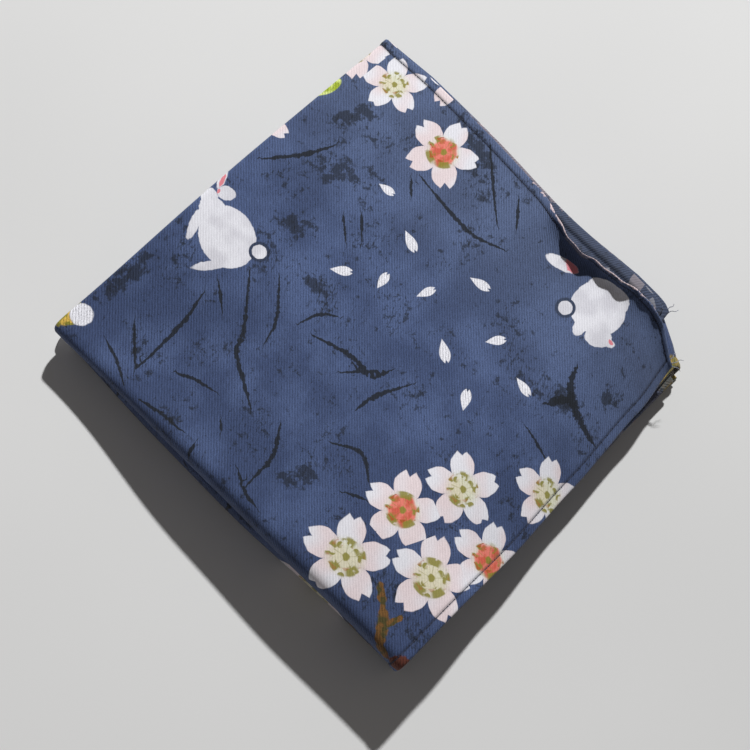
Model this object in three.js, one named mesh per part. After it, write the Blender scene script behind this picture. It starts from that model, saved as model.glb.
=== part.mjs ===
// A square cotton wrapping cloth, folded in four one way and then in four the other way.
// Millimetres, +Z up. The packet lies on its last layer, and its four open corners meet at +X +Y.
import * as THREE from "three";

// Driving dimensions of the cloth and of its layers
const CLOTH_SIDE = 500;
const LAYERS_ACROSS = 4;
const SHEET_THICKNESS = 1.15;
const LAYER_GAP = 0.15;
const STACK_GAP = 0.3;

// Sizes that follow from them
const PANEL_SIDE = CLOTH_SIDE / LAYERS_ACROSS;
const HALF_PANEL = PANEL_SIDE / 2;
const HALF_SHEET = SHEET_THICKNESS / 2;
const LAYER_PITCH = SHEET_THICKNESS + LAYER_GAP;
const STACK_HEIGHT = (LAYERS_ACROSS - 1) * LAYER_PITCH + SHEET_THICKNESS;
const STACK_PITCH = STACK_HEIGHT + STACK_GAP;
const PACKET_HEIGHT = (LAYERS_ACROSS - 1) * STACK_PITCH + STACK_HEIGHT;

// Where a layer has its stations, as shares of its length from the open side
const LAYER_STATIONS_ACROSS = [0, 0.05, 0.15, 0.3, 0.5, 0.7, 0.85, 0.95, 1];
const LAYER_STATIONS_ALONG = [0, 0.03, 0.08, 0.16, 0.4, 0.7, 0.92, 1];
const THIN_FOLD_STEPS = 4;
const THICK_FOLD_STEPS = 8;
const THIN_FOLD_SQUARENESS = 2;
const THICK_FOLD_SQUARENESS = 3;

// How the hems and folds stand out (+) or back (-), how much further each next layer stands out,
// and how they waver, with the wavelength measured on the open cloth. Corner is what is added
// where the other line of cloth starts, at the corners of the top layers.
const FIRST_FOLD_EDGES = [
  {
    edge: "hem of layer 1", reach: -0.5, perLayer: 0.25, waver: 0.3, wavelength: 210, phase: 0.3,
    corner: 0,
  },
  {
    edge: "fold of layers 1 and 2", reach: -0.2, perLayer: 0.1, waver: 0.35, wavelength: 170, phase: 1.9,
    corner: 0,
  },
  {
    edge: "fold of layers 2 and 3", reach: -1.1, perLayer: 0.2, waver: 0.5, wavelength: 130, phase: 4.1,
    corner: -13,
  },
  {
    edge: "fold of layers 3 and 4", reach: -0.8, perLayer: 0.15, waver: 0.5, wavelength: 150, phase: 0.8,
    corner: 0,
  },
  {
    edge: "hem of layer 4", reach: -1.0, perLayer: 0.3, waver: 0.4, wavelength: 190, phase: 2.6,
    corner: -12,
  },
];
const SECOND_FOLD_EDGES = [
  {
    edge: "ends of stack 1", reach: -1.9, perLayer: 0.55, waver: 0.3, wavelength: 160, phase: 0.9,
    corner: 0,
  },
  {
    edge: "fold of stacks 1 and 2", reach: -0.5, perLayer: 0, waver: 0.35, wavelength: 230, phase: 2.2,
    corner: 0,
  },
  {
    edge: "fold of stacks 2 and 3", reach: -0.7, perLayer: 0.1, waver: 0.5, wavelength: 180, phase: 3.5,
    corner: 0,
  },
  {
    edge: "fold of stacks 3 and 4", reach: -1.6, perLayer: 0, waver: 0.45, wavelength: 140, phase: 5.0,
    corner: 0,
  },
  {
    edge: "ends of stack 4", reach: -0.8, perLayer: -0.2, waver: 0.5, wavelength: 170, phase: 1.2,
    corner: 0,
  },
];
const EDGE_SHIFT_STARTS = 0.35;
const CORNER_LENGTH = 26;

// How the packet's outline leaves a square: at a place on the side, its distance outwards.
// On the hem side the lower layers keep straighter than the top ones.
const OPEN_SIDE_BOW = [
  { at: -62.5, out: 1.0 },
  { at: -42, out: 2.3 },
  { at: -22, out: 2.5 },
  { at: 4, out: 1.4 },
  { at: 46, out: 3.9 },
  { at: 62.5, out: -2.2 },
];
const HEM_SIDE_BOW = [
  { at: -62.5, out: 2.0 },
  { at: -40, out: 1.8 },
  { at: -18, out: 2.2 },
  { at: 10, out: 1.2 },
  { at: 40, out: -0.4 },
  { at: 62.5, out: -3.0 },
];
const HEM_SIDE_BOW_BELOW = [
  { at: -62.5, out: 1.8 },
  { at: -40, out: 1.6 },
  { at: -18, out: 1.8 },
  { at: 10, out: 1.0 },
  { at: 40, out: 0.2 },
  { at: 62.5, out: 0.4 },
];
const FOLD_SIDE_BOW = [
  { at: -62.5, out: 0 },
  { at: -12, out: 0 },
  { at: 62.5, out: -3.0 },
];
const BOW_BELOW_ENDS = 0.45;
const BOW_ABOVE_STARTS = 0.95;

// Where the pile is looser and so higher, or pressed and so lower, as a share of its height
const LOOSE_PLACES = [
  { place: "corner of the two folded ends", x: 40, y: -36, spread: 24, rise: 0.13 },
  { place: "corner of the folds", x: -60, y: -60, spread: 24, rise: -0.13 },
  { place: "middle", x: 0, y: 6, spread: 40, rise: 0.025 },
  { place: "far corner", x: -42, y: 44, spread: 20, rise: 0.02 },
];

// How much lower the pile lies at its hem side, as a share of its height
const HEM_SIDE_DROP = [
  { at: -62.5, out: 0 },
  { at: -42, out: -0.03 },
  { at: -18, out: -0.1 },
  { at: 10, out: -0.13 },
  { at: 62.5, out: -0.13 },
];
const DROP_STARTS = 0.5;

// The free end of the top layer, which curls up beside the open corner
const CURL_START = -2;
const CURL_FULL = 15;
const CURL_EASES = 58;
const CURL_KEPT = 0.8;
const CURL_DEPTH = 13;
const CURL_LIFT = 4.4;
const CURL_DRAWN_IN = 5.0;
const CURL_DEEPEST_AT = 20;
const CURL_DEEPEST_SPREAD = 17;
const CURL_FURTHER_IN = 0.5;

const CLOTH_COLOUR = 0x42547c;
const CLOTH_ROUGHNESS = 0.92;

function smoothStep(low, high, value) {
  return THREE.MathUtils.smoothstep(value, low, high);
}

// A smooth curve through the rows of a bow table
function bowAt(rows, place) {
  const last = rows.length - 1;
  if (place <= rows[0].at) return rows[0].out;
  if (place >= rows[last].at) return rows[last].out;
  const next = rows.findIndex((row) => row.at >= place);
  const from = rows[next - 1];
  const to = rows[next];
  return from.out + (to.out - from.out) * smoothStep(from.at, to.at, place);
}

// A sine or cosine of a pressed fold, whose section is squarer than a round one
function pressed(share, squareness) {
  return Math.sign(share) * Math.abs(share) ** (2 / squareness);
}

// A back-and-forth line of four runs, from its free end on the plus side down to the other free end.
// Each station has its place, the direction that the sheet's outer face looks, and its place on the cloth.
function foldedLine(pitch, halfThickness, runStations, foldSteps, squareness) {
  const foldRadius = pitch / 2;
  const foldReach = foldRadius + halfThickness;
  const topLevel = ((LAYERS_ACROSS - 1) * pitch) / 2;
  const stations = [];
  for (let run = 0; run < LAYERS_ACROSS; run += 1) {
    const level = topLevel - run * pitch;
    const leavesPlusSide = run % 2 === 0;
    const endsFree = run === 0 || run === LAYERS_ACROSS - 1;
    const plusEnd = endsFree ? HALF_PANEL : HALF_PANEL - foldReach;
    const minusEnd = foldReach - HALF_PANEL;
    const facing = leavesPlusSide ? 1 : -1;
    const shares = leavesPlusSide ? runStations : [...runStations].reverse();
    for (const share of shares) {
      const progress = leavesPlusSide ? share : 1 - share;
      const across = THREE.MathUtils.lerp(plusEnd, minusEnd, share);
      stations.push({ across, level, outAcross: 0, outLevel: facing, run, progress });
    }
    if (run === LAYERS_ACROSS - 1) break;
    const side = leavesPlusSide ? -1 : 1;
    const centre = leavesPlusSide ? minusEnd : HALF_PANEL - foldReach;
    for (let step = 1; step < foldSteps; step += 1) {
      const angle = (Math.PI * step) / foldSteps;
      const awayAcross = side * pressed(Math.sin(angle), squareness);
      const awayLevel = pressed(Math.cos(angle), squareness);
      stations.push({
        across: centre + foldRadius * awayAcross,
        level: level - foldRadius + foldRadius * awayLevel,
        outAcross: facing * awayAcross,
        outLevel: facing * awayLevel,
        run,
        progress: 1,
      });
    }
  }
  return stations;
}

// How far a station moves outwards for the uneven hems and folds at both ends of its run
function edgeShift(edges, station, clothPlace) {
  const leavesPlusSide = station.run % 2 === 0;
  const ends = [
    { edge: edges[station.run], side: leavesPlusSide ? 1 : -1, nearness: 1 - station.progress },
    { edge: edges[station.run + 1], side: leavesPlusSide ? -1 : 1, nearness: station.progress },
  ];
  let shift = 0;
  for (const { edge, side, nearness } of ends) {
    const wave = edge.waver * Math.sin((2 * Math.PI * clothPlace) / edge.wavelength + edge.phase);
    const layers = clothPlace / PANEL_SIDE;
    const corner = edge.corner * (1 - smoothStep(0, CORNER_LENGTH, clothPlace));
    const out = edge.reach + edge.perLayer * layers + wave + corner;
    shift += side * out * smoothStep(EDGE_SHIFT_STARTS, 1, nearness);
  }
  return shift;
}

function clothPlace(station) {
  return (station.run + station.progress) * PANEL_SIDE;
}

// The curl of the top layer of the top stack, as a share of its full height
function curlShare(x, y) {
  const eased = 1 - (1 - CURL_KEPT) * smoothStep(CURL_FULL, CURL_EASES, x);
  const alongSide = smoothStep(CURL_START, CURL_FULL, x) * eased;
  return alongSide * smoothStep(HALF_PANEL - CURL_DEPTH, HALF_PANEL, y);
}

// The smooth change of shape of the whole pile, which keeps its layers apart
function settle(point) {
  const openSide = Math.max(0, point.y / HALF_PANEL);
  const hemSide = Math.max(0, point.x / HALF_PANEL);
  const foldSide = Math.max(0, -point.y / HALF_PANEL);
  let rise = 0;
  for (const loose of LOOSE_PLACES) {
    const distance = Math.hypot(point.x - loose.x, point.y - loose.y) / loose.spread;
    rise += loose.rise * Math.exp((-distance * distance) / 2);
  }
  rise += bowAt(HEM_SIDE_DROP, point.y) * Math.max(0, (hemSide - DROP_STARTS) / (1 - DROP_STARTS)) ** 2;
  const above = smoothStep(BOW_BELOW_ENDS, BOW_ABOVE_STARTS, point.z / PACKET_HEIGHT);
  const hemBowBelow = bowAt(HEM_SIDE_BOW_BELOW, point.y);
  const hemBow = THREE.MathUtils.lerp(hemBowBelow, bowAt(HEM_SIDE_BOW, point.y), above);
  return new THREE.Vector3(
    point.x + hemBow * hemSide * hemSide,
    point.y
      + bowAt(OPEN_SIDE_BOW, point.x) * openSide * openSide
      - bowAt(FOLD_SIDE_BOW, point.x) * foldSide * foldSide,
    point.z * (1 + rise),
  );
}

// A point on one face of the sheet: the thin folds of the layers are carried along the thick folds
// of the stacks
function clothPoint(layerStation, stackStation, face) {
  const depth = face * HALF_SHEET;
  const across = layerStation.across + depth * layerStation.outAcross;
  const level = layerStation.level + depth * layerStation.outLevel;
  const middleHeight = PACKET_HEIGHT / 2;
  const point = new THREE.Vector3(
    across + edgeShift(FIRST_FOLD_EDGES, layerStation, clothPlace(stackStation)),
    stackStation.across + level * stackStation.outAcross
      + edgeShift(SECOND_FOLD_EDGES, stackStation, clothPlace(layerStation)),
    middleHeight + stackStation.level + level * stackStation.outLevel,
  );
  const isTopLayer = layerStation.run === 0 && layerStation.outAcross === 0 && stackStation.run === 0;
  if (isTopLayer && stackStation.outAcross === 0) {
    const curl = curlShare(point.x, point.y);
    const fromDeepest = (point.x - CURL_DEEPEST_AT) / CURL_DEEPEST_SPREAD;
    point.z += CURL_LIFT * curl;
    point.y -= CURL_DRAWN_IN * curl * (1 + CURL_FURTHER_IN * Math.exp(-fromDeepest * fromDeepest));
  }
  return settle(point);
}

function foldedClothGeometry() {
  const layerLine = foldedLine(
    LAYER_PITCH, HALF_SHEET, LAYER_STATIONS_ACROSS, THIN_FOLD_STEPS, THIN_FOLD_SQUARENESS,
  );
  const halfStack = STACK_HEIGHT / 2;
  const stackLine = foldedLine(
    STACK_PITCH, halfStack, LAYER_STATIONS_ALONG, THICK_FOLD_STEPS, THICK_FOLD_SQUARENESS,
  );
  const layerCount = layerLine.length;
  const ringSize = 2 * layerCount;
  const points = [];
  for (const stackStation of stackLine) {
    for (const layerStation of layerLine) {
      points.push(clothPoint(layerStation, stackStation, 1));
    }
    for (const layerStation of [...layerLine].reverse()) {
      points.push(clothPoint(layerStation, stackStation, -1));
    }
  }

  const faces = [];
  const addQuad = (a, b, c, d) => faces.push(a, c, b, a, d, c);
  for (let ring = 0; ring + 1 < stackLine.length; ring += 1) {
    for (let place = 0; place < ringSize; place += 1) {
      const next = (place + 1) % ringSize;
      const here = ring * ringSize;
      const there = here + ringSize;
      addQuad(here + place, there + place, there + next, here + next);
    }
  }
  const lastRing = (stackLine.length - 1) * ringSize;
  for (let place = 0; place + 1 < layerCount; place += 1) {
    const across = ringSize - 1 - place;
    addQuad(place, place + 1, across - 1, across);
    addQuad(lastRing + place, lastRing + across, lastRing + across - 1, lastRing + place + 1);
  }

  const geometry = new THREE.BufferGeometry().setFromPoints(points);
  geometry.setIndex(faces);
  geometry.computeBoundingBox();
  const box = geometry.boundingBox;
  geometry.translate(-(box.min.x + box.max.x) / 2, -(box.min.y + box.max.y) / 2, -box.min.z);
  geometry.computeVertexNormals();
  return geometry;
}

const cloth = new THREE.Mesh(
  foldedClothGeometry(),
  new THREE.MeshStandardMaterial({ color: CLOTH_COLOUR, roughness: CLOTH_ROUGHNESS, metalness: 0 }),
);
cloth.name = "furoshiki_cloth";

const foldedFuroshiki = new THREE.Group();
foldedFuroshiki.add(cloth);

export default foldedFuroshiki;
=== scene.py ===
# A printed cotton wrapping cloth, folded in four one way and then in four the other way
import math

import bpy
import numpy as np
from mathutils import Matrix, Vector


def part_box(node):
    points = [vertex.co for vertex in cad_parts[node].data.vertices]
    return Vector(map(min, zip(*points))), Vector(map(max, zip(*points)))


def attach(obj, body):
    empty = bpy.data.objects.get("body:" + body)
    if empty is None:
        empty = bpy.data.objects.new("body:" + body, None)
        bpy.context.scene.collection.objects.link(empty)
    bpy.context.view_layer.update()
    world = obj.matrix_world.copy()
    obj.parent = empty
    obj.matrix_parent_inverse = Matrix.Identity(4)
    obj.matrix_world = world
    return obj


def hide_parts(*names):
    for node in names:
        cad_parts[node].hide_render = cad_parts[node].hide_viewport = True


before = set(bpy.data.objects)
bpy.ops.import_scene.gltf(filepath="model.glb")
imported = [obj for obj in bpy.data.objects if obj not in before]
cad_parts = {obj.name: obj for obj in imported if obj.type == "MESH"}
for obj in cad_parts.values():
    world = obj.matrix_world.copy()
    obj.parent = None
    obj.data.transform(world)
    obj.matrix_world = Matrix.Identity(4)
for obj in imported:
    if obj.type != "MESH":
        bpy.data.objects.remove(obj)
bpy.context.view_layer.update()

MM = 0.001


def add_object(name, data):
    made = bpy.data.objects.new(name, data)
    bpy.context.scene.collection.objects.link(made)
    return made


def table(names, rows):
    """Rows of values as dictionaries that all have the same names."""
    return [dict(zip(names.split(), row)) for row in rows]


# Camera, above the packet and turned so that its open corner is at the right

CAMERA_AZIMUTH = 15
CAMERA_ELEVATION = 73
CAMERA_DISTANCE = 428
CAMERA_AIM = (3.8, -10.1, 12)
PLAN_DIRECTION_UP_THE_PICTURE = 135
FOCAL_PIXELS = 1575
PICTURE_PIXELS = 750
SENSOR_WIDTH = 36


def place_camera():
    azimuth = math.radians(CAMERA_AZIMUTH)
    elevation = math.radians(CAMERA_ELEVATION)
    upward = math.radians(PLAN_DIRECTION_UP_THE_PICTURE)
    back = Vector((
        math.sin(azimuth) * math.cos(elevation),
        -math.cos(azimuth) * math.cos(elevation),
        math.sin(elevation),
    ))
    plan_up = Vector((math.cos(upward), math.sin(upward), 0))
    right = plan_up.cross(back).normalized()
    up = back.cross(right)
    turn = Matrix((right, up, back)).transposed().to_4x4()
    aim = Vector(CAMERA_AIM) * MM
    data = bpy.data.cameras.new("camera")
    data.sensor_width = SENSOR_WIDTH
    data.lens = FOCAL_PIXELS / PICTURE_PIXELS * SENSOR_WIDTH
    data.clip_start = 0.01
    camera = add_object("camera", data)
    camera.matrix_world = Matrix.Translation(aim + back * CAMERA_DISTANCE * MM) @ turn
    bpy.context.scene.camera = camera


# The cloth, in millimetres

LAYERS_ACROSS = 4
PANEL = 125.0
HALF_PANEL = PANEL / 2
SHEET = 0.52
LAYER_PITCH = 1.3
STACK_HEIGHT = 4.9
STACK_PITCH = 5.35
OUTER_LAYER = 1.5 * LAYER_PITCH
THIN_FOLD_REACH = 1.15
THICK_FOLD_REACH = STACK_PITCH / 2 + STACK_HEIGHT / 2
PACKET_HEIGHT = 3 * STACK_PITCH + STACK_HEIGHT

HEM_WIDTH = 3.0
HEM_EXTRA = 0.5
HEM_ROUNDING = 0.5
STITCH_LINE = 2.5
STITCH_DENT = 0.24
STITCH_DENT_WIDTH = 0.28
HEM_RAISED = 0.2
HEM_EDGE = (HEM_WIDTH - 0.15, HEM_WIDTH + 0.25)
HEM_RIDGE_EDGE = (STITCH_LINE - 0.1, STITCH_LINE + 0.4)
THINNEST_EDGE = 0.06
# Darker line along the stitches: painted shade of the stitch groove and of the raised hem's step, with the
# stitching's darker dye
SEAM_SHADE_LINE = STITCH_LINE + 0.1
SEAM_SHADE_WIDTH = 0.42

# Distances from a hem at which the cloth gets a row of points, so that the hem is smooth
HEM_ROWS = [0, 0.1, 0.25, 0.5, 0.9, 1.4, 1.9, 2.2, 2.45, 2.7, 2.95, 3.2, 3.7]
TOP_LAYER_STEP = 1.08
HIDDEN_LAYER_STEP = 9.0
THIN_FOLD_STEPS = [8, 5, 5]
THICK_FOLD_STEPS = [22, 12, 16]
THIN_FOLD_SQUARENESS = 2.0
THICK_FOLD_SQUARENESS = 3.0

# How far each hem and fold lies out. Corner is what is added where the other line of cloth starts.
EDGE = "edge reach per_layer waver wavelength phase corner"
FIRST_FOLD_EDGES = table(EDGE, [
    ("hem of layer 1", -0.5, 0.25, 0.3, 210, 0.3, 0),
    ("fold of layers 1 and 2", -0.2, 0.1, 0.35, 170, 1.9, 0),
    ("fold of layers 2 and 3", -1.1, 0.2, 0.5, 130, 4.1, -13.0),
    ("fold of layers 3 and 4", -0.8, 0.15, 0.5, 150, 0.8, 0),
    ("hem of layer 4", -1.0, 0.3, 0.4, 190, 2.6, -12.0),
])
SECOND_FOLD_EDGES = table(EDGE, [
    ("ends of stack 1", -1.9, 0.55, 0.3, 160, 0.9, 0),
    ("fold of stacks 1 and 2", -0.5, 0, 0.35, 230, 2.2, 0),
    ("fold of stacks 2 and 3", -0.7, 0.1, 0.5, 180, 3.5, 0),
    ("fold of stacks 3 and 4", -1.6, 0, 0.45, 140, 5.0, 0),
    ("ends of stack 4", -0.8, -0.2, 0.5, 170, 1.2, 0),
])
EDGE_SHIFT_STARTS = 0.35
CORNER_LENGTH = 26

OPEN_SIDE_BOW = [(-62.5, 1.0), (-42, 2.3), (-22, 2.5), (4, 1.4), (46, 3.9), (62.5, -2.2)]
HEM_SIDE_BOW = [(-62.5, 2.0), (-40, 1.8), (-18, 2.2), (10, 1.2), (40, -0.4), (62.5, -3.0)]
HEM_SIDE_BOW_BELOW = [(-62.5, 1.8), (-40, 1.6), (-18, 1.8), (10, 1.0), (40, 0.2), (62.5, 0.4)]
FOLD_SIDE_BOW = [(-62.5, 0), (-12, 0), (62.5, -2.1)]
FAR_SIDE_BOW = [(-62.5, 1.7), (0, 1.4), (62.5, 0)]

LOOSE_PLACES = table("place x y spread rise", [
    ("corner of the two folded ends", 40, -36, 24, 0.13),
    ("corner of the folds", -60, -60, 24, -0.34),
    ("middle", 0, 6, 40, 0.025),
    ("far corner", -42, 44, 20, 0.02),
])

# How much lower the pile lies at its hem side, as a share of its height, at places along that side
HEM_SIDE_DROP = [(-62.5, 0), (-42, -0.06), (-18, -0.28), (10, -0.40), (62.5, -0.42)]
DROP_STARTS = 0.5

# Soft creases and swells of the whole pile: a middle, a heading, lengths along and across, and a height
CREASES = table("x y heading along across rise", [
    (-18, 24, 20, 30, 7, 0.021),
    (14, -6, -50, 26, 6, -0.018),
    (-34, -18, 65, 22, 6, 0.018),
    (30, 30, 100, 18, 5, -0.018),
    (-6, -40, 5, 30, 5, 0.017),
])

CURL_START = -2
CURL_FULL = 15
CURL_EASES = 58
CURL_KEPT = 0.8
CURL_DEPTH = 14
CURL_LIFT = 4.8
CURL_DRAWN_IN = 4.4
CURL_CREST = 0.86
CURL_CREST_SOFTNESS = 0.035
CURL_ROLLED_BACK = 0.14
CURL_DEEPEST_AT = 20
CURL_DEEPEST_SPREAD = 17
CURL_FURTHER_IN = 0.62
CURL_WAVER = 0.07
CURL_FINE_WAVER = 0.05
CURL_STEEPENS = 2.4

# Heights by which the layers lie unevenly on one another
LOOSENESS = 0.16
FINE_LOOSENESS = 0.12

# Levels between which the hem side's outline goes from that of the lower layers to that of the upper ones
UPPER_LAYERS = (0.45, 0.95)


def smooth_step(low, high, value):
    share = np.clip((value - low) / (high - low), 0, 1)
    return share * share * (3 - 2 * share)


def bow_at(rows, place):
    """A smooth curve through the rows (place, distance outwards)."""
    out = np.full_like(place, rows[0][1], dtype=float)
    for (start, from_out), (end, to_out) in zip(rows, rows[1:]):
        out += (to_out - from_out) * smooth_step(start, end, place)
    return out


def run_places(plus_end, minus_end, fine, hem):
    """Places along one run of cloth, from its plus end to its minus end."""
    length = plus_end - minus_end
    if fine:
        places = list(np.linspace(0, length, int(length / TOP_LAYER_STEP)))
    else:
        middle = list(np.linspace(6, length - 6, int(length / HIDDEN_LAYER_STEP)))
        places = [0, 1.5, 3.5, *middle, length - 3.5, length - 1.5, length]
    if hem:
        places = [*HEM_ROWS, *[place for place in places if place > HEM_ROWS[-1] + 0.4]]
    return plus_end - np.array(places)


def pressed(share, squareness):
    """A sine or cosine of a pressed fold, whose section is squarer than a round one."""
    return math.copysign(abs(share) ** (2 / squareness), share)


def folded_line(pitch, reach, folded_layers_reach, fold_steps, squareness):
    """A back-and-forth line of four runs, from its free plus end on top to that at the bottom.

    Its columns are the place across, the level, the outer face's direction, the run, the progress in it
    and the length of cloth up to there, measured on the outermost layer."""
    radius = pitch / 2
    rows = []
    length = 0.0
    for run in range(LAYERS_ACROSS):
        level = (LAYERS_ACROSS - 1) * radius - run * pitch
        leaves_plus = run % 2 == 0
        free = run in (0, LAYERS_ACROSS - 1)
        plus_end = HALF_PANEL if free else HALF_PANEL - reach
        minus_end = reach - HALF_PANEL
        places = run_places(plus_end, minus_end, fine=run == 0, hem=free)
        shares = (plus_end - places) / (plus_end - minus_end)
        if not leaves_plus:
            places = places[::-1]
            shares = 1 - shares[::-1]
        facing = 1 if leaves_plus else -1
        for place, progress in zip(places, shares):
            travelled = length + abs(place - places[0])
            rows.append((place, level, 0, facing, run, progress, travelled))
        length += abs(places[-1] - places[0])
        if run == LAYERS_ACROSS - 1:
            break
        side = -1 if leaves_plus else 1
        arc = math.pi * abs(radius - side * folded_layers_reach)
        steps = fold_steps[run]
        for step in range(1, steps):
            angle = math.pi * step / steps
            away = side * pressed(math.sin(angle), squareness)
            upward = pressed(math.cos(angle), squareness)
            rows.append((
                places[-1] + radius * away,
                level - radius + radius * upward,
                facing * away,
                facing * upward,
                run,
                1.0,
                length + arc * step / steps,
            ))
        length += arc
    names = ("across", "level", "out_across", "out_level", "run", "progress", "length")
    return dict(zip(names, np.array(rows).T))


def edge_shift(edges, line, cloth_place):
    """How far each station moves out for the uneven hems and folds at the ends of its run."""
    leaves_plus = line["run"] % 2 == 0
    shift = np.zeros(np.broadcast(line["run"], cloth_place).shape)
    for end in (0, 1):
        side = np.where(leaves_plus == (end == 0), 1, -1)
        nearness = line["progress"] if end else 1 - line["progress"]
        near = smooth_step(EDGE_SHIFT_STARTS, 1, nearness)
        for number, edge in enumerate(edges):
            wave = np.sin(2 * math.pi * cloth_place / edge["wavelength"] + edge["phase"])
            out = edge["reach"] + edge["per_layer"] * cloth_place / PANEL + edge["waver"] * wave
            out = out + edge["corner"] * (1 - smooth_step(0, CORNER_LENGTH, cloth_place))
            shift = shift + np.where(line["run"] + end == number, side * near, 0) * out
    return shift


def curl_shares(x, y):
    """How far the curl is drawn in and how high it stands, as shares; it crests just inside its hem."""
    eased = 1 - (1 - CURL_KEPT) * smooth_step(CURL_FULL, CURL_EASES, x)
    along_side = smooth_step(CURL_START, CURL_FULL, x) * eased
    up_slope = np.clip((y - HALF_PANEL + CURL_DEPTH) / CURL_DEPTH, 0, 1.2)
    past_crest = CURL_CREST_SOFTNESS * np.log1p(np.exp((up_slope - CURL_CREST) / CURL_CREST_SOFTNESS))
    drawn_in = np.clip((up_slope - past_crest) / CURL_CREST, 0, 1) ** CURL_STEEPENS
    rolled = CURL_ROLLED_BACK * (past_crest / (1 - CURL_CREST)) ** 2
    return along_side * drawn_in, along_side * (drawn_in - rolled)


def rise_at(x, y):
    """How much higher the pile is than its layers alone, as a share of its height."""
    rise = np.zeros(np.broadcast(x, y).shape)
    for loose in LOOSE_PLACES:
        distance = np.hypot(x - loose["x"], y - loose["y"]) / loose["spread"]
        rise += loose["rise"] * np.exp(-distance ** 2 / 2)
    for crease in CREASES:
        heading = math.radians(crease["heading"])
        along = (x - crease["x"]) * math.cos(heading) + (y - crease["y"]) * math.sin(heading)
        across = (y - crease["y"]) * math.cos(heading) - (x - crease["x"]) * math.sin(heading)
        size = (along / crease["along"]) ** 2 + (across / crease["across"]) ** 2
        rise += crease["rise"] * np.exp(-size)
    nearness = np.clip((x / HALF_PANEL - DROP_STARTS) / (1 - DROP_STARTS), 0, 1.1)
    return rise + bow_at(HEM_SIDE_DROP, y) * nearness ** 2


def settle(x, y, z):
    """The smooth change of shape of the whole pile, which keeps its layers apart."""
    open_side = np.maximum(0, y / HALF_PANEL)
    hem_side = np.maximum(0, x / HALF_PANEL)
    above = smooth_step(*UPPER_LAYERS, z / PACKET_HEIGHT)
    bow = bow_at(HEM_SIDE_BOW_BELOW, y)
    bow = bow + (bow_at(HEM_SIDE_BOW, y) - bow) * above
    far_side = np.maximum(0, -x / HALF_PANEL)
    moved_x = x + bow * hem_side ** 2 - bow_at(FAR_SIDE_BOW, y) * far_side ** 2
    fold_side = np.maximum(0, -y / HALF_PANEL)
    moved_y = y + bow_at(OPEN_SIDE_BOW, x) * open_side ** 2 - bow_at(FOLD_SIDE_BOW, x) * fold_side ** 2
    return np.stack([moved_x, moved_y, z * (1 + rise_at(x, y))], axis=-1)


def hem_distances(line):
    """Distance along the cloth to the nearer of a line's two hems."""
    return np.minimum(line["length"], line["length"][-1] - line["length"])


def outer_lengths(line, outwards):
    """Lengths along a folded line at its outer side, where a fold is longest and its print is seen."""
    steps = []
    for level in (outwards, -outwards):
        across = line["across"] + level * line["out_across"]
        height = line["level"] + level * line["out_level"]
        steps.append(np.hypot(np.diff(across), np.diff(height)))
    return np.concatenate([[0.0], np.cumsum(np.maximum(*steps))])


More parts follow.
